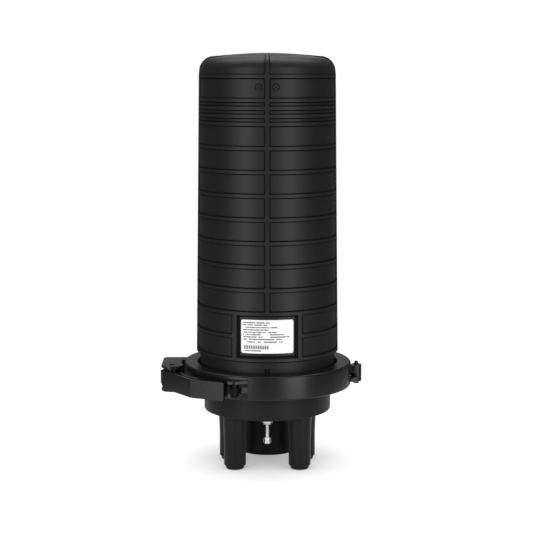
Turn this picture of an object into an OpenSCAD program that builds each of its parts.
/* [Overall] */
// height from the port ends to the crown, mm
closure_h = 443; // [400:1:520]
// diameter over the dome ribs at the skirt, mm
dome_d = 153.8; // [140:0.2:175]
// length of the cable ports below the cup, mm
port_h = 58; // [45:1:75]
// height from the cup floor's underside to the sealing plane, mm
cup_h = 39.7; // [34:0.1:55]

/* [Dome] */
// narrowing of the dome radius per mm of height
dome_taper = 0.013; // [0.005:0.0001:0.02]
// thickness of the dome wall at a panel, mm
dome_wall = 4.1; // [3:0.1:6]
// radius of the dome shoulder, mm
shoulder_r = 14.4; // [8:0.2:24]
// radius of the raised disc on the crown, mm
crown_disc_r = 38; // [20:1:45]
// radius of the moulded date dials, mm
dial_r = 3.8; // [2.5:0.1:5]

/* [Ribs] */
// how far a rib stands off the panels, mm
rib_h = 1.9; // [1:0.1:3]
// width of a rib, mm
rib_w = 5.0; // [3:0.1:8]
// number of evenly spaced ribs below the rib group
rib_count = 10; // [6:1:14]
// slope on each flank of a rib, mm
rib_draft = 0.5; // [0.2:0.1:1]

/* [Label] */
// how deep the recess goes below the lowest rib's face, mm
recess_depth = 4.7; // [4:0.1:5.5]
// half width of the recess that takes the label, mm
recess_x = 32; // [24:0.5:40]
// half width of the label, mm
label_x = 27.3; // [20:0.1:34]
// height of the label, mm
label_h = 35.4; // [25:0.1:38]
// thickness of the label, mm
label_t = 0.25; // [0.1:0.05:0.5]

/* [Clamp ring] */
// height of the clamp ring, mm
ring_h = 25.5; // [22:0.5:34]
// wall outside the flanges, mm
ring_wall = 4.5; // [3:0.1:7]
// slope of the flange faces, mm per mm
flange_slope = 0.21; // [0.12:0.01:0.3]
// gap between the ring halves on each side of the split, degrees
split_gap = 0.19; // [0.1:0.01:0.5]

/* [Latch] */
// distance from the lever pivot to the link pin, mm
throw_r = 6; // [5.5:0.1:8]
// angle that the shut link lies past the dead centre, degrees
over_centre = 8; // [4:0.5:14]
// height of the lever, mm
lever_h = 19.5; // [16:0.5:24]
// wall of the lever moulding, mm
lever_wall = 2.6; // [1.8:0.1:4]
// diameter of the lever pivot pins, mm
pivot_d = 5; // [4:0.1:6]
// diameter of the link pin, mm
link_pin_d = 4; // [3:0.1:5]
// diameter of the catch pin, mm
catch_pin_d = 5; // [4:0.1:6]
// thickness of the link strap, mm
strap_t = 3.2; // [2.4:0.1:4]
// play of the catch pin in its hook, mm
hook_play = 0.8; // [0.5:0.1:2]
// distance from the ring to the catch pin's axis, mm
hook_r = 6.2; // [6:0.1:8]
// angle of the catch pin round the ring, degrees
hook_a = 249.8; // [248:0.1:252]
// chamfer on the lever's toe, mm
toe = 5.5; // [2:0.5:7]

/* [Hinge] */
// distance from the ring to the hinge pin axis, mm
hinge_off = 6.1; // [5.8:0.1:10]
// diameter of the hinge pin, mm
hinge_d = 4.3; // [3:0.1:6]
// radius of the hinge knuckles, mm
knuckle_r = 5.7; // [4:0.1:5.7]

/* [Base and ports] */
// wall of the base cup, mm
cup_wall = 4; // [3:0.1:6]
// radius of a round port, mm
port_r = 11.85; // [9:0.05:13]
// wall of a port, mm
port_wall = 2.65; // [2:0.05:4]
// x of the front ports, mm
port_fx = 34.75; // [32:0.25:38]
// y of the front ports, mm
port_fy = -40; // [-44:0.5:-34]
// x of the side ports, mm
port_sx = 40.6; // [37:0.1:44]
// y of the oval port's front face, mm
oval_y = 11; // [8:0.5:16]

/* [Earth stud] */
// diameter of the earth stud, mm
stud_d = 5; // [4:0.5:8]
// y of the earth stud, mm
stud_y = -45; // [-50:0.5:-34]

/* [Trays] */
// distance from one tray to the next, mm
tray_pitch = 9.6; // [9:0.1:12]
// width of a tray, mm
tray_w = 104; // [90:1:108]
// length of a tray, mm
tray_l = 226; // [180:1:240]
// height of a tray's rim, mm
tray_rim = 8.4; // [7:0.1:9]
// thickness of a tray's floor and walls, mm
tray_t = 1.6; // [1.2:0.1:2]
// radius of a tray's fibre spools, mm
spool_r = 27; // [20:0.5:32]
// number of splice slots in a tray
splice_slots = 6; // [4:1:8]

/* [Inside hardware] */
// thickness of the metal bracket, mm
frame_t = 1.6; // [1.2:0.1:2.5]
// width of the bracket's back plate, mm
frame_w = 84; // [60:1:96]
// radius of the frame's foot plate, mm
foot_r = 63; // [56:0.5:64]
// diameter of the bracket screws, mm
screw_d = 4; // [3:0.5:5]

/* [Clearances] */
// gap between faces that must not touch, mm
gap = 0.3; // [0.2:0.05:0.5]
// radial clearance of a pin that turns, mm
run = 0.05; // [0.02:0.01:0.1]

/* [Node] */
// which node to draw

/* [Hidden] */
$fn = 96;
black = [0.13, 0.13, 0.135];
steel = [0.72, 0.72, 0.74];

seal_z = port_h + cup_h;
skirt_h = 24.5;
rib_z0 = seal_z + skirt_h;
dome_r = dome_d / 2;
flange_r = dome_r + 9.4;
clamp_r = flange_r + 0.4 + ring_wall;
cup_r = dome_r - 7.9;
skirt_r = dome_r - 3.6;
ring_z0 = seal_z - ring_h / 2;
ring_z1 = seal_z + ring_h / 2;
lip_r = skirt_r + 2.5;
low_lip_r = cup_r + 2.3;
function rr(z) = dome_r - dome_taper * (z - rib_z0);
function rp(z) = rr(z) - rib_h;
function ri(z) = rr(z) - rib_h - dome_wall;
function pol(dr, a) = [(clamp_r + dr) * cos(a), (clamp_r + dr) * sin(a)];

// rib tops, from the lowest rib up
series_top = closure_h - 95.6;
series_low = rib_z0 + rib_w;
pitch = (series_top - series_low) / (rib_count - 1);
rib_tops = concat(
  [for (k = [0 : rib_count - 1]) series_low + pitch * k],
  [for (d = [70.8, 62.7, 54.5, 46.5, 22.1]) closure_h - d]
);
label_rib = series_low + 2 * pitch;
sh_z = closure_h - 19.5;
sh_x = rp(sh_z) - shoulder_r;
function arc(r, a0, a1, n) = [
  for (i = [0 : n])
    [sh_x + r * cos(a0 + (a1 - a0) * i / n), sh_z + r * sin(a0 + (a1 - a0) * i / n)]
];

// the dome wall as one closed profile
dome_out = concat(
  [
    [ri(rib_z0), seal_z + gap / 2], [flange_r, seal_z + gap / 2],
    [flange_r, seal_z + 4.1], [flange_r - 0.8, seal_z + 4.8 + 0.8 * flange_slope],
    [lip_r, seal_z + 4.8 + (flange_r - lip_r) * flange_slope],
    [skirt_r + 0.4, seal_z + 7.5], [skirt_r, seal_z + 8],
    [skirt_r, rib_z0 - 0.4], [skirt_r + 0.6, rib_z0]
  ],
  [
    for (t = rib_tops)
      each [
        [rp(t - rib_w), t - rib_w], [rr(t - rib_w + rib_draft), t - rib_w + rib_draft],
        [rr(t - rib_draft), t - rib_draft], [rp(t), t]
      ]
  ],
  arc(shoulder_r, 0, 90, 9),
  [
    [crown_disc_r + 0.6, closure_h - 2.9], [crown_disc_r, closure_h - 2.2],
    [crown_disc_r / 2, closure_h - 0.6], [0, closure_h]
  ]
);
dome_in = concat(
  [[0, closure_h - dome_wall - 1.3], [crown_disc_r, closure_h - dome_wall - 2.9]],
  arc(shoulder_r - dome_wall, 90, 0, 6),
  [[ri(rib_z0), rib_z0]]
);
// the shell that the upright ribs are cut from
rib_shell = concat(
  [[rp(rib_z0 + 1) - 1, rib_z0 + 1], [rr(rib_z0 + 1) - 0.3, rib_z0 + 1]],
  arc(shoulder_r + rib_h - 0.3, 0, 90, 9),
  [[crown_disc_r + 2, closure_h - 1.8], [crown_disc_r - 1.6, closure_h - 2.3]],
  [[crown_disc_r - 1.6, closure_h - 4.2], [sh_x, sh_z + shoulder_r - 1]],
  arc(shoulder_r - 1, 90, 0, 6)
);
label_r = dome_r - recess_depth;
recess_z0 = rib_z0 + rib_w - rib_draft;
recess_z1 = label_rib - rib_w + rib_draft;
label_z = (recess_z0 + recess_z1) / 2;

module upright_rib(a, z0) {
  rotate([0, 0, a])
    intersection() {
      rotate_extrude() polygon(rib_shell);
      translate([-2.4, -dome_r - 5, z0]) cube([4.8, dome_r - 12, closure_h]);
    }
}
module box_on_front(x, z0, z1, r) {
  difference() {
    translate([-x, -dome_r - 5, z0]) cube([2 * x, dome_r - 20, z1 - z0]);
    translate([0, 0, z0 - 1]) cylinder(r = r, h = z1 - z0 + 2);
  }
}
module frame_post(sx) {
  intersection() {
    rotate_extrude() polygon([
      [rp(rib_z0 + 1) - 1, rib_z0 + 1], [rr(rib_z0 + 1) - 0.2, rib_z0 + 1],
      [rr(label_rib - 1) - 0.2, label_rib - 1], [rp(label_rib - 1) - 1, label_rib - 1]
    ]);
    translate([sx > 0 ? recess_x : -recess_x - 4.75, -dome_r - 5, rib_z0])
      cube([4.75, dome_r - 20, label_rib - rib_z0]);
  }
}
module dial(a) {
  z = closure_h - 35.5;
  rotate([0, 0, a])
    translate([0, -rp(z) - 1, z])
      rotate([-90, 0, 0]) {
        difference() {
          cylinder(r = dial_r, h = 1.5);
          translate([0, 0, -1]) cylinder(r = dial_r - 0.6, h = 4);
        }
        translate([-0.35, -dial_r + 0.5, 0]) cube([0.7, 2 * dial_r - 1, 1.4]);
        cylinder(r = 1.3, h = 1.4);
      }
}
module dome() color(black) {
  difference() {
    union() {
      rotate_extrude() polygon(concat(dome_out, dome_in));
      upright_rib(0, label_rib - 2);
      for (a = [90, 180, 270]) upright_rib(a, rib_z0);
      frame_post(1);
      frame_post(-1);
      translate([0, -skirt_r + 1, seal_z + 15]) rotate([90, 0, 0]) cylinder(r = 2.6, h = 1.5);
    }
    box_on_front(recess_x, recess_z0, recess_z1, label_r);
    box_on_front(recess_x + 1.2, recess_z0 - 0.9, recess_z1 + 0.9, rp(label_z) + 0.3);
    dial(-7.3);
    dial(7.3);
  }
}
module label() color([0.93, 0.93, 0.93]) {
  intersection() {
    difference() {
      translate([0, 0, label_z - 30]) cylinder(r = label_r + 0.04 + label_t, h = 60);
      translate([0, 0, label_z - 31]) cylinder(r = label_r + 0.04, h = 62);
    }
    translate([0, -40, label_z]) rotate([90, 0, 0]) linear_extrude(60) {
      square([2 * label_x - 6, label_h], center = true);
      square([2 * label_x, label_h - 6], center = true);
      for (i = [-1, 1], j = [-1, 1])
        translate([i * (label_x - 3), j * (label_h / 2 - 3)]) circle(r = 3);
    }
  }
}

/* base: flange, cup, four round ports and one oval port */
function oval_c() = oval_y + 24;
module oval2d(o) {
  intersection() {
    translate([0, oval_y + 34]) circle(r = 34 - o);
    translate([0, oval_y + 14]) circle(r = 34 - o);
    translate([0, oval_c()]) circle(r = 31 - o);
  }
}
port_at = [[port_fx, port_fy], [-port_fx, port_fy], [port_sx, 0], [-port_sx, 0]];
post_at = [[55, 25], [-55, 25], [18, -57], [-18, -57]];
foot_z = seal_z + 3;
module port_out() {
  cylinder(r1 = port_r - 3, r2 = port_r - 2, h = 1);
  translate([0, 0, 1]) cylinder(r = port_r - 2, h = 3);
  translate([0, 0, 3.5]) cylinder(r1 = port_r - 0.9, r2 = port_r, h = 0.9);
  translate([0, 0, 4.4]) cylinder(r = port_r, h = 26);
  translate([0, 0, 30]) cylinder(r1 = port_r, r2 = port_r + 1.1, h = port_h - 29);
}
module base() color(black) {
  difference() {
    union() {
      rotate_extrude() polygon([
        [0, port_h], [cup_r - 1.4, port_h], [cup_r - 0.4, port_h + 0.4], [cup_r, port_h + 1.4],
        [cup_r, seal_z - 4.8 - (flange_r - cup_r) * flange_slope],
        [flange_r - 0.8, seal_z - 4.8 - 0.8 * flange_slope],
        [flange_r, seal_z - 4.1], [flange_r, seal_z - gap / 2],
        [flange_r - 5.2, seal_z - gap / 2], [flange_r - 5.2, seal_z - 3],
        [flange_r - 9.8, seal_z - 3], [flange_r - 9.8, seal_z - gap / 2],
        [dome_r - 6.7, seal_z - gap / 2], [dome_r - 6.7, seal_z + 6],
        [dome_r - 7.5, seal_z + 7.2], [dome_r - 10.4, seal_z + 7.2],
        [dome_r - 10.6, seal_z + 7], [dome_r - 10.6, seal_z - 3],
        [cup_r - cup_wall, seal_z - 6], [cup_r - cup_wall, port_h + cup_wall],
        [0, port_h + cup_wall]
      ]);
      for (p = port_at) translate([p[0], p[1], 0]) port_out();
      translate([0, 0, 1]) linear_extrude(port_h) oval2d(0);
      linear_extrude(2) oval2d(1);
      for (p = post_at)
        translate([p[0], p[1], port_h + 2]) cylinder(r = 4.5, h = foot_z - port_h - 2);
      translate([0, stud_y, port_h]) cylinder(r = 8, h = cup_wall + 1.5);
    }
    for (p = port_at)
      translate([p[0], p[1], 4.5]) cylinder(r = port_r - port_wall, h = port_h);
    translate([0, 0, 4.5]) linear_extrude(port_h) oval2d(3);
    translate([0, stud_y, port_h - 1]) cylinder(r = stud_d / 2, h = 20);
    for (p = post_at) translate([p[0], p[1], foot_z - 14]) cylinder(r = screw_d / 2, h = 20);
  }
}
module seal_ring() color([0.07, 0.07, 0.07]) {
  rotate_extrude() polygon([
    [flange_r - 9.8, seal_z - 2.2], [flange_r - 9.2, seal_z - 3], [flange_r - 5.8, seal_z - 3],
    [flange_r - 5.2, seal_z - 2.2], [flange_r - 5.2, seal_z - 0.6], [flange_r - 6, seal_z + gap / 2],
    [flange_r - 9, seal_z + gap / 2], [flange_r - 9.8, seal_z - 0.6]
  ]);
}

/* clamp ring halves */
chan_r = flange_r + 0.4;
function chan(r) = 4.8 + (flange_r - r) * flange_slope + gap;
module ring_half(a0) {
  rotate([0, 0, a0 + split_gap])
    rotate_extrude(angle = 180 - 2 * split_gap)
      polygon([
        [low_lip_r, ring_z0 + 0.8], [low_lip_r + 0.8, ring_z0],
        [clamp_r - 1.6, ring_z0], [clamp_r - 0.5, ring_z0 + 0.5], [clamp_r, ring_z0 + 1.6],
        [clamp_r, ring_z1 - 2.8], [clamp_r - 0.35, ring_z1 - 1.4], [clamp_r - 1.4, ring_z1 - 0.35],
        [clamp_r - 2.8, ring_z1], [lip_r + 0.8, ring_z1], [lip_r, ring_z1 - 0.8],
        [lip_r, seal_z + chan(lip_r)], [chan_r - 0.6, seal_z + chan(chan_r - 0.6)],
        [chan_r, seal_z + chan(chan_r) - 0.6], [chan_r, seal_z - chan(chan_r) + 0.6],
        [chan_r - 0.6, seal_z - chan(chan_r - 0.6)], [low_lip_r, seal_z - chan(low_lip_r)]
      ]);
}
hinge_at = [clamp_r + hinge_off, 0];
ear_z = [seal_z - 10.3, seal_z - 4.9, seal_z - 0.7, seal_z + 8];
module ear(z0, z1, y0, y1) {
  translate([hinge_at[0], 0, z0]) cylinder(r = knuckle_r, h = z1 - z0);
  translate([clamp_r - 2.5, y0, z0]) cube([hinge_off + 2.5, y1 - y0, z1 - z0]);
}
piv = pol(14.5, 194.2);
hook = pol(hook_r, hook_a);
dead = atan2(piv[1] - hook[1], piv[0] - hook[0]);
lpin = [piv[0] + throw_r * cos(dead + over_centre), piv[1] + throw_r * sin(dead + over_centre)];
lev_z0 = ring_z0 + 0.5;
lev_z1 = lev_z0 + lever_h;
lug_x = piv[0] - 11.3;
module lug_outline(r, x0) {
  translate([piv[0], piv[1]]) circle(r = r);
  polygon([
    [lug_x, piv[1] - 2], [piv[0], piv[1] - r + 3], [x0, piv[1]], [x0, -0.5],
    [-clamp_r + 2.4, 0.6], [-clamp_r + 2.4, 15], [lug_x + 3, 15], [lug_x, 12]
  ]);
}
module clamp_rear_half() color(black) {
  difference() {
    union() {
      ring_half(0);
      ear(ear_z[1] + gap, ear_z[2] - gap, gap, 8);
      translate([0, 0, ring_z1 - 2.6]) linear_extrude(2.6) lug_outline(11.6, -clamp_r - 1.8);
      translate([0, 0, lev_z0 - gap - 2.5]) linear_extrude(2.5) lug_outline(11.6, -clamp_r - 1.8);
      translate([piv[0], piv[1], lev_z1 + gap]) cylinder(r = 8, h = ring_z1 - 1 - lev_z1 - gap);
      translate([0, 0, lev_z0 - gap - 2]) linear_extrude(ring_z1 - lev_z0 + gap + 1) polygon([
        [lug_x + 0.4, 2.4], [lug_x + 1.4, 1.4], [-clamp_r + 2.4, 1.4],
        [-clamp_r + 2.4, 14.6], [lug_x + 3.2, 14.6], [lug_x + 0.4, 11.8]
      ]);
    }
    translate([hinge_at[0], 0, ring_z0]) cylinder(r = hinge_d / 2, h = ring_h);
    translate([piv[0], piv[1], ring_z0 - 10]) cylinder(r = pivot_d / 2, h = ring_h + 20);
    translate([piv[0], piv[1], ring_z1 - 1.4]) cylinder(r = pivot_d / 2 + 1, h = 3);
    translate([lug_x + 5, 4.4, ring_z0 - 5]) cube([13, 7.4, ring_h + 1]);
  }
}
horn_a = hook_a - (catch_pin_d / 2 + hook_play) * 57.3 / (clamp_r + hook_r);
// the hook's outline, which holds the catch pin from the lever's side
module horn(z0, z1, out) {
  a = horn_a;
  translate([0, 0, z0]) linear_extrude(z1 - z0) polygon([
    pol(-1.5, a - 3.6), pol(hook_r - 3, a - 3.3), pol(hook_r + out - 1.1, a - 2.7),
    pol(hook_r + out, a - 2.0), pol(hook_r + out - 0.2, a - 1.1), pol(hook_r + 0.1, a - 0.3),
    pol(hook_r - 1.4, a), pol(hook_r - 2.8, a), pol(hook_r - 3.6, a + 0.6),
    pol(hook_r - 3.8, a + 3.4), pol(1.6, a + 7), pol(0.2, a + 9.5), pol(-1.5, a + 9.6)
  ]);
}
// the guard over the hook, a flat ledge that runs out into the ring
module hook_guard(z0, z1) {
  a = horn_a;
  translate([0, 0, z0]) linear_extrude(z1 - z0) polygon([
    pol(-1.5, a - 3.6), pol(hook_r + 1.6, a - 3.3), pol(hook_r + 3.4, a - 2.2),
    pol(hook_r + 3.8, a + 0.5), pol(hook_r + 3, a + 3), pol(hook_r - 0.6, a + 5),
    pol(2.4, a + 7), pol(0.6, a + 9.5), pol(-1.5, a + 10.5)
  ]);
}
guard_z0 = ring_z1 - 7.2;
guard_z1 = ring_z1 - 4.4;
tong_z0 = seal_z - 4.8;
tong_z1 = seal_z + 1;
module clamp_front_half() color(black) {
  difference() {
    union() {
      ring_half(180);
      ear(ear_z[0], ear_z[1], -8, -gap);
      ear(ear_z[2], ear_z[3], -8, -gap);
      horn(tong_z1 + gap, guard_z0 + 1, 1.7);
      horn(ring_z0 + 3.5, tong_z0 - gap, 1.2);
      hook_guard(guard_z0, guard_z1);
    }
    translate([hinge_at[0], 0, ring_z0]) cylinder(r = hinge_d / 2 + run, h = ring_h);
  }
}
module hinge_pin() color([0.1, 0.1, 0.1]) {
  translate([hinge_at[0], 0, ear_z[0] - gap - 2.2]) cylinder(r = 3, h = 2.2);
  translate([hinge_at[0], 0, ear_z[0] - gap]) cylinder(r = hinge_d / 2, h = ear_z[3] - ear_z[0] + 3);
  translate([hinge_at[0], 0, ear_z[3] + 2.7]) cylinder(r1 = hinge_d / 2, r2 = hinge_d / 2 - 0.8, h = 0.9);
}

/* latch */
lev_a = pol(26.9, 193.9);
lev_b = pol(19.66, 223.7);
lev_c = pol(12.5, 244.06);
cheek = 3.8;
function mix(p, q, t) = [p[0] + (q[0] - p[0]) * t, p[1] + (q[1] - p[1]) * t];
function unit(p, q) = [q[0] - p[0], q[1] - p[1]] / norm([q[0] - p[0], q[1] - p[1]]);
function inw(p, q, d) = [-unit(p, q)[1] * d, unit(p, q)[0] * d];
lev_d = lev_a + inw(lev_a, lev_b, lever_wall);
lev_f = lev_c + inw(lev_b, lev_c, lever_wall);
lev_e = mix(lev_b + inw(lev_a, lev_b, lever_wall), lev_b + inw(lev_b, lev_c, lever_wall), 0.5)
  + inw(lev_a, lev_c, 0.1);
rail_in = 11.2;
rail_out = 13.4;
rail_a0 = 205.5;
rail_a1 = 232.5;
// how far the inside of the lever's long wall is from the axis, along the angle a
function wall_at(a) = cross(lev_d, unit(lev_a, lev_b)) / cross([cos(a), sin(a)], unit(lev_a, lev_b));
module lever_wall_2d() {
  polygon([lev_a, lev_b, lev_c, lev_f, lev_e, lev_d]);
  polygon(concat(
    [for (a = [rail_a0 : 3 : rail_a1]) pol(rail_out, a)],
    [for (a = [rail_a1 : -3 : rail_a0]) pol(rail_in, a)]
  ));
}
module lever_rib_2d(a, w) {
  out = wall_at(a) - clamp_r + 1;
  polygon([pol(rail_in + 1, a), pol(rail_in + 1, a + w), pol(out, a + w), pol(out, a)]);
}
module latch_lever() color(black) {
  difference() {
    union() {
      translate([0, 0, lev_z0]) linear_extrude(lever_h) lever_wall_2d();
      translate([0, 0, lev_z0 + 8.6]) linear_extrude(2.4) polygon(concat(
        [mix(lev_a, lev_b, 0.36), lev_b, lev_c],
        [for (a = [rail_a1 : -3 : rail_a0]) pol(rail_in, a)]
      ));
      for (a = [206, 211, 218])
        translate([0, 0, lev_z0 + 1.5]) linear_extrude(lever_h - 3) lever_rib_2d(a, 0.9);
      translate([0, 0, lev_z0]) linear_extrude(lever_h) polygon([
        lev_c, lev_f, lev_f + inw(lev_b, lev_c, 0.6), mix(lev_f, lev_e, 0.08) + inw(lev_b, lev_c, 0.5),
        mix(lev_f, lev_e, 0.08), mix(lev_c, lev_b, 0.08)
      ]);
      for (z = [lev_z0, lev_z1 - cheek])
        translate([0, 0, z]) linear_extrude(cheek) {
          translate([piv[0], piv[1]]) circle(r = 10.7);
          polygon([
            lev_a, mix(lev_a, lev_b, 0.42), pol(rail_out, 207.5), pol(rail_in, 205.5),
            pol(11.6, 200), [piv[0] + 6, piv[1] - 2], [piv[0] - 4, piv[1] + 4]
          ]);
        }
    }
    translate([piv[0], piv[1], lev_z0 - 1]) cylinder(r = pivot_d / 2 + run, h = lever_h + 2);
    translate([lpin[0], lpin[1], lev_z0 - 1]) cylinder(r = link_pin_d / 2, h = lever_h + 2);
    translate([lev_a[0], lev_a[1], lev_z0])
      rotate([90, 0, atan2(lev_b[1] - lev_a[1], lev_b[0] - lev_a[0])])
        linear_extrude(60, center = true) polygon([[-9, -1], [toe, -1], [toe, 0], [0, toe], [-9, toe]]);
  }
}
module lever_pivot_pins() color(steel) {
  translate([piv[0], piv[1], lev_z1 - cheek + 0.2])
    cylinder(r = pivot_d / 2, h = ring_z1 - 1.4 - lev_z1 + cheek - 0.2);
  translate([piv[0], piv[1], lev_z0 - gap - 2.4]) cylinder(r = pivot_d / 2, h = cheek + gap + 2.2);
}
module link_pin() color(steel) {
  translate([lpin[0], lpin[1], lev_z0 + 0.2]) cylinder(r = link_pin_d / 2, h = lever_h - 0.4);
}
strap_in = [
  [199, 8.2], [205, 7.2], [212, 6.5], [220, 6.0], [230, 5.4], [240, 4.8], [hook_a, 4.4]
];
module strap_2d(i0, i1) {
  polygon(concat(
    [for (i = [i0 : i1]) pol(strap_in[i][1], strap_in[i][0])],
    [for (i = [i1 : -1 : i0]) pol(strap_in[i][1] + strap_t, strap_in[i][0])]
  ));
}
function side(d) = [-unit(lpin, piv)[1] * d, unit(lpin, piv)[0] * d];
module latch_link() color(black) {
  difference() {
    union() {
      translate([0, 0, lev_z0 + cheek + gap]) linear_extrude(lever_h - 2 * cheek - 2 * gap) {
        translate([lpin[0], lpin[1]]) circle(r = 4.4);
        polygon([
          lpin + side(3), piv + side(3), pol(8.2, 199), pol(7.2, 205),
          pol(7.2 + strap_t, 205), pol(8.2 + strap_t, 200), piv - side(3), lpin - side(3)
        ]);
      }
      translate([0, 0, lev_z0 + 1.5]) linear_extrude(lever_h - 2) {
        strap_2d(1, 5);
        polygon([
          pol(7.9, 200.8), pol(7.2, 205), pol(7.2 + strap_t, 205), pol(7.9 + strap_t, 201.8)
        ]);
      }
      translate([0, 0, tong_z0]) linear_extrude(tong_z1 - tong_z0) {
        strap_2d(4, 6);
        translate([hook[0], hook[1]]) circle(r = catch_pin_d / 2 + 1.3);
      }
    }
    translate([lpin[0], lpin[1], lev_z0]) cylinder(r = link_pin_d / 2 + run, h = lever_h);
    translate([hook[0], hook[1], lev_z0]) cylinder(r = catch_pin_d / 2, h = lever_h);
    translate([0, 0, tong_z1]) linear_extrude(20) polygon([
      pol(0.6, 242.4), pol(0.6, 254), pol(14, 254), pol(14, 242.4)
    ]);
    translate([0, 0, tong_z0 - 20]) linear_extrude(20) polygon([
      pol(0.6, 242.4), pol(0.6, 254), pol(14, 254), pol(14, 242.4)
    ]);
  }
}
module catch_pin() color(steel) {
  translate([hook[0], hook[1], ring_z0 + 3.8])
    cylinder(r = catch_pin_d / 2, h = guard_z0 - gap - ring_z0 - 3.8);
}

/* earth stud and its nuts */
module hex(d, h) { cylinder(d = d, h = h, $fn = 6); }
stud_z0 = port_h - 29.5;
module earth_stud() color(steel) {
  translate([0, stud_y, stud_z0 + 2]) cylinder(r = stud_d / 2, h = port_h + cup_wall + 12 - stud_z0 - 2);
}
nut_z = port_h - 8.4;
module earth_flange_nut() color(steel) {
  translate([0, stud_y, 0]) difference() {
    union() {
      translate([0, 0, port_h - 1.4]) cylinder(r = stud_d * 1.3, h = 1.4);
      translate([0, 0, nut_z + 3]) hex(stud_d * 1.85, 4.4);
      translate([0, 0, nut_z]) cylinder(r1 = stud_d * 0.8, r2 = stud_d * 1.1, h = 1.4);
      translate([0, 0, nut_z + 1.4]) cylinder(r1 = stud_d * 1.1, r2 = stud_d * 1.26, h = 1.4);
      translate([0, 0, nut_z + 2.8]) cylinder(r = stud_d * 1.26, h = 0.9);
    }
    cylinder(r = stud_d / 2, h = port_h + 5);
  }
}
module earth_cap_nut() color(steel) {
  translate([0, stud_y, stud_z0]) difference() {
    union() {
      cylinder(r1 = 2.8, r2 = 4.1, h = 0.9);
      translate([0, 0, 0.9]) cylinder(r = 4.4, h = 0.9);
      translate([0, 0, 1.5]) hex(8.6, 3.6);
      translate([0, 0, 5]) cylinder(r = 3.6, h = 2);
    }
    translate([0, 0, 2]) cylinder(r = stud_d / 2, h = 20);
  }
}
module earth_inner_nut() color(steel) {
  translate([0, stud_y, 0]) difference() {
    union() {
      translate([0, 0, port_h + cup_wall + 1.5]) cylinder(r = 6, h = 1.2);
      translate([0, 0, port_h + cup_wall + 2.7]) hex(9.2, 4);
    }
    cylinder(r = stud_d / 2, h = port_h + 40);
  }
}

/* bracket, trays and cable clamps inside */
plate_y = 6;
plate_z1 = foot_z + 282;
tray_z0 = foot_z + 56;
clamp_at = [[17, -34, 0], [-17, -34, 0], [20, -6, 0], [-20, -6, 0], [0, -22, 0]];
module tray_frame() color(steel) {
  difference() {
    union() {
      translate([0, 0, foot_z]) cylinder(r = foot_r, h = frame_t);
      translate([-22, plate_y, foot_z]) cube([44, frame_t, 30]);
      translate([0, plate_y + frame_t, 0]) rotate([90, 0, 0]) linear_extrude(frame_t) polygon([
        [-22, foot_z + 18], [-frame_w / 2, foot_z + 40], [-frame_w / 2, plate_z1 - 8],
        [-frame_w / 2 + 8, plate_z1], [frame_w / 2 - 8, plate_z1], [frame_w / 2, plate_z1 - 8],
        [frame_w / 2, foot_z + 40], [22, foot_z + 18]
      ]);
      for (x = [-1, 1])
        translate([x > 0 ? frame_w / 2 - frame_t : -frame_w / 2, plate_y, foot_z + 44])
          cube([frame_t, 9, plate_z1 - foot_z - 56]);
    }
    for (p = port_at) translate([p[0], p[1], foot_z - 1]) cylinder(r = port_r, h = 5);
    translate([0, 0, foot_z - 1]) linear_extrude(5) oval2d(1.6);
    for (p = post_at) translate([p[0], p[1], foot_z - 1]) cylinder(r = screw_d / 2, h = 5);
    for (p = clamp_at) translate([p[0], p[1], foot_z - 1]) cylinder(r = 1.5, h = 5);
    for (z = [70, 120, 170, 220])
      translate([-14, plate_y - 1, foot_z + z]) cube([28, 5, 22]);
    translate([0, plate_y - 1, plate_z1 - 14]) rotate([-90, 0, 0]) cylinder(r = 6, h = 5);
  }
}
module frame_screws() color(steel) {
  for (p = post_at)
    translate([p[0], p[1], 0]) {
      translate([0, 0, foot_z - 12]) cylinder(r = screw_d / 2, h = 13);
      difference() {
        translate([0, 0, foot_z + frame_t]) cylinder(r1 = 3.9, r2 = 3.3, h = 2.6);
        translate([-2.6, -0.5, foot_z + frame_t + 1.4]) cube([5.2, 1, 3]);
        translate([-0.5, -2.6, foot_z + frame_t + 1.4]) cube([1, 5.2, 3]);
      }
      translate([0, 0, foot_z + 0.5]) cylinder(r = screw_d / 2, h = frame_t);
    }
}
step_z = 4.9;
function tray_y(k) = plate_y - 3.2 - tray_pitch * (k - 1);
function pin_z(k) = tray_z0 - 7 - step_z * (k - 1);
function pin_y(k) = tray_y(k) - 4;
module tray_holder() color(black) {
  difference() {
    union() {
      translate([-20, plate_y - 2.2, tray_z0 - 36]) cube([40, 2.2, 34]);
      for (x = [-19, 16])
        translate([x + 3, 0, 0]) rotate([0, -90, 0]) linear_extrude(3) polygon([
          [tray_z0 - 36, plate_y - 1], [tray_z0 - 3.6, plate_y - 1],
          [pin_z(1) + 3.2, pin_y(1) - 3.4], [pin_z(2) + 3.2, pin_y(2) - 3.4],
          [pin_z(3) + 3.2, pin_y(3) - 3.4], [pin_z(4) + 3.2, pin_y(4) - 3.8],
          [pin_z(4) - 4, pin_y(4) - 3.8]
        ]);
      translate([-17, pin_y(4) + 2, pin_z(4) - 9.6]) cube([34, 2, 5]);
      translate([-17, pin_y(3) + 1, pin_z(4) - 13]) cube([34, 2, 5]);
    }
    for (k = [1 : 4])
      translate([-30, pin_y(k), pin_z(k)]) rotate([0, 90, 0]) cylinder(r = 2 + run, h = 60);
  }
}
module plate2d(w, l, r) {
  translate([-w / 2 + r, 0]) square([w - 2 * r, l]);
  translate([-w / 2, r]) square([w, l - 2 * r]);
  for (i = [-1, 1], j = [r, l - r]) translate([i * (w / 2 - r), j]) circle(r = r);
}
module ring2d(r, t) {
  difference() {
    circle(r = r);
    circle(r = r - t);
  }
}
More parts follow.
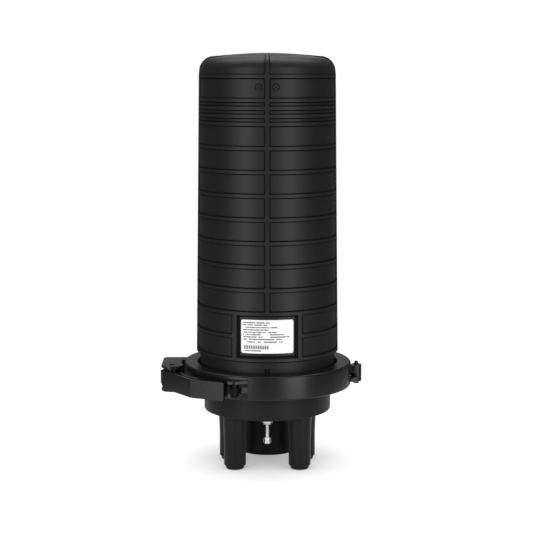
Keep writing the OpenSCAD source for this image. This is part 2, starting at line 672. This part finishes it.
module tray_flat(k) {
  z_hinge = tray_z0 - pin_z(k);
  difference() {
    union() {
      linear_extrude(tray_t) plate2d(tray_w, tray_l, 14);
      linear_extrude(tray_rim) difference() {
        plate2d(tray_w, tray_l, 14);
        translate([0, tray_t]) plate2d(tray_w - 2 * tray_t, tray_l - 2 * tray_t, 14 - tray_t);
        translate([-tray_w / 2 + 16, -1]) square([14, 4]);
        translate([tray_w / 2 - 30, -1]) square([14, 4]);
      }
      for (y = [spool_r + 14, tray_l - spool_r - 14])
        translate([0, y, 0]) {
          linear_extrude(tray_rim - 1) ring2d(spool_r, 1.4);
          for (a = [45 : 90 : 315])
            rotate([0, 0, a]) translate([spool_r - 1.2, -4, tray_rim - 2]) cube([8, 8, 1]);
        }
      for (y = [40, tray_l / 2, tray_l - 40], s = [-1, 1])
        translate([s > 0 ? tray_w / 2 - 8 : -tray_w / 2, y - 6, tray_rim - 1]) cube([8, 12, 1]);
      for (x = [-26, 26]) translate([x - 3, tray_l - 7, tray_rim - 1]) cube([8, 7, 1]);
      for (x = [-15.4, 10.4])
        translate([x, -z_hinge, 0]) {
          cube([5, z_hinge + 2, tray_t + 2.4]);
          translate([0, 0, 4]) rotate([0, 90, 0]) cylinder(r = 3.2, h = 5);
        }
      translate([-19.5, -z_hinge, 4]) rotate([0, 90, 0]) cylinder(r = 2, h = 39);
    }
    for (y = [spool_r + 14, tray_l - spool_r - 14], a = [45 : 90 : 315])
      translate([0, y, -1]) rotate([0, 0, a]) translate([spool_r + 0.6, -4, 0]) cube([6.4, 8, 5]);
    for (y = [40, tray_l / 2, tray_l - 40], s = [-1, 1])
      translate([s > 0 ? tray_w / 2 - 8.4 : -tray_w / 2 + 2, y - 6, -1]) cube([6.4, 12, 5]);
  }
}
module at_tray(k) translate([0, tray_y(k), tray_z0]) rotate([90, 0, 0]) children();
module splice_tray_1() color(black) at_tray(1) tray_flat(1);
module splice_tray_2() color(black) at_tray(2) tray_flat(2);
module splice_tray_3() color(black) at_tray(3) tray_flat(3);
module splice_tray_4() color(black) at_tray(4) tray_flat(4);
comb_w = 5.4 * splice_slots + 1.4;
module comb() {
  difference() {
    translate([-comb_w / 2, tray_l / 2 - 14, tray_t]) cube([comb_w, 28, 5.4]);
    for (i = [0 : splice_slots - 1])
      translate([-comb_w / 2 + 1.4 + 5.4 * i, tray_l / 2 - 15, tray_t + 1.4]) cube([4, 30, 6]);
    translate([-comb_w / 2 - 1, tray_l / 2 - 2, tray_t + 1.4]) cube([comb_w + 2, 4, 6]);
  }
}
module splice_holders() color([0.75, 0.76, 0.78]) {
  for (k = [1 : 4]) at_tray(k) comb();
}
module tray_cover() color([0.8, 0.85, 0.9, 0.4]) {
  at_tray(4) translate([0, 0, tray_rim]) linear_extrude(1.5) difference() {
    plate2d(tray_w, tray_l, 14);
    for (y = [40, tray_l - 40]) translate([0, y]) circle(r = 4);
  }
}
strap_zc = tray_z0 + tray_l / 2 + 36;
strap_y0 = tray_y(4) - tray_rim - 1.5;
module tray_strap() color([0.09, 0.09, 0.1]) {
  translate([0, 0, strap_zc]) linear_extrude(20) difference() {
    union() {
      translate([-tray_w / 2 - 1.3, strap_y0 - 1.3]) square([tray_w + 2.6, plate_y - strap_y0 + 12.4]);
      translate([6, strap_y0 - 2.5]) square([30, 2]);
    }
    translate([-tray_w / 2 - 0.1, strap_y0]) square([tray_w + 0.2, plate_y - strap_y0 + 9.8]);
  }
}
block_h = 11;
clamp_z = foot_z + frame_t;
module cable_clamp_blocks() color(steel) {
  for (p = clamp_at)
    translate([p[0], p[1], clamp_z]) difference() {
      translate([-5, -4, 0]) cube([10, 8, block_h]);
      translate([0, 0, -1]) cylinder(r = 1.5, h = 20);
      translate([-3.6, -5, block_h]) rotate([-90, 0, 0]) cylinder(r = 1.2, h = 10);
      translate([3.6, -5, block_h]) rotate([-90, 0, 0]) cylinder(r = 1.2, h = 10);
    }
}
module cable_clamp_caps() color(steel) {
  for (p = clamp_at)
    translate([p[0], p[1], clamp_z + block_h]) difference() {
      translate([-5, -4, 0]) cube([10, 8, 2.2]);
      translate([0, 0, -1]) cylinder(r = 1.5, h = 20);
    }
}
module cable_clamp_screws() color(steel) {
  for (p = clamp_at)
    translate([p[0], p[1], 0]) {
      translate([0, 0, foot_z - 4]) cylinder(r = 1.5, h = 4 + frame_t + block_h + 2.3);
      difference() {
        translate([0, 0, clamp_z + block_h + 2.2]) cylinder(r1 = 2.9, r2 = 2.4, h = 2);
        translate([-2.2, -0.4, clamp_z + block_h + 3.2]) cube([4.4, 0.8, 2]);
        translate([-0.4, -2.2, clamp_z + block_h + 3.2]) cube([0.8, 4.4, 2]);
      }
    }
}

dome();
base();
seal_ring();
clamp_rear_half();
clamp_front_half();
hinge_pin();
latch_lever();
lever_pivot_pins();
link_pin();
latch_link();
catch_pin();
label();
earth_stud();
earth_flange_nut();
earth_cap_nut();
earth_inner_nut();
tray_frame();
frame_screws();
tray_holder();
splice_tray_1();
splice_tray_2();
splice_tray_3();
splice_tray_4();
splice_holders();
tray_cover();
tray_strap();
cable_clamp_blocks();
cable_clamp_caps();
cable_clamp_screws();
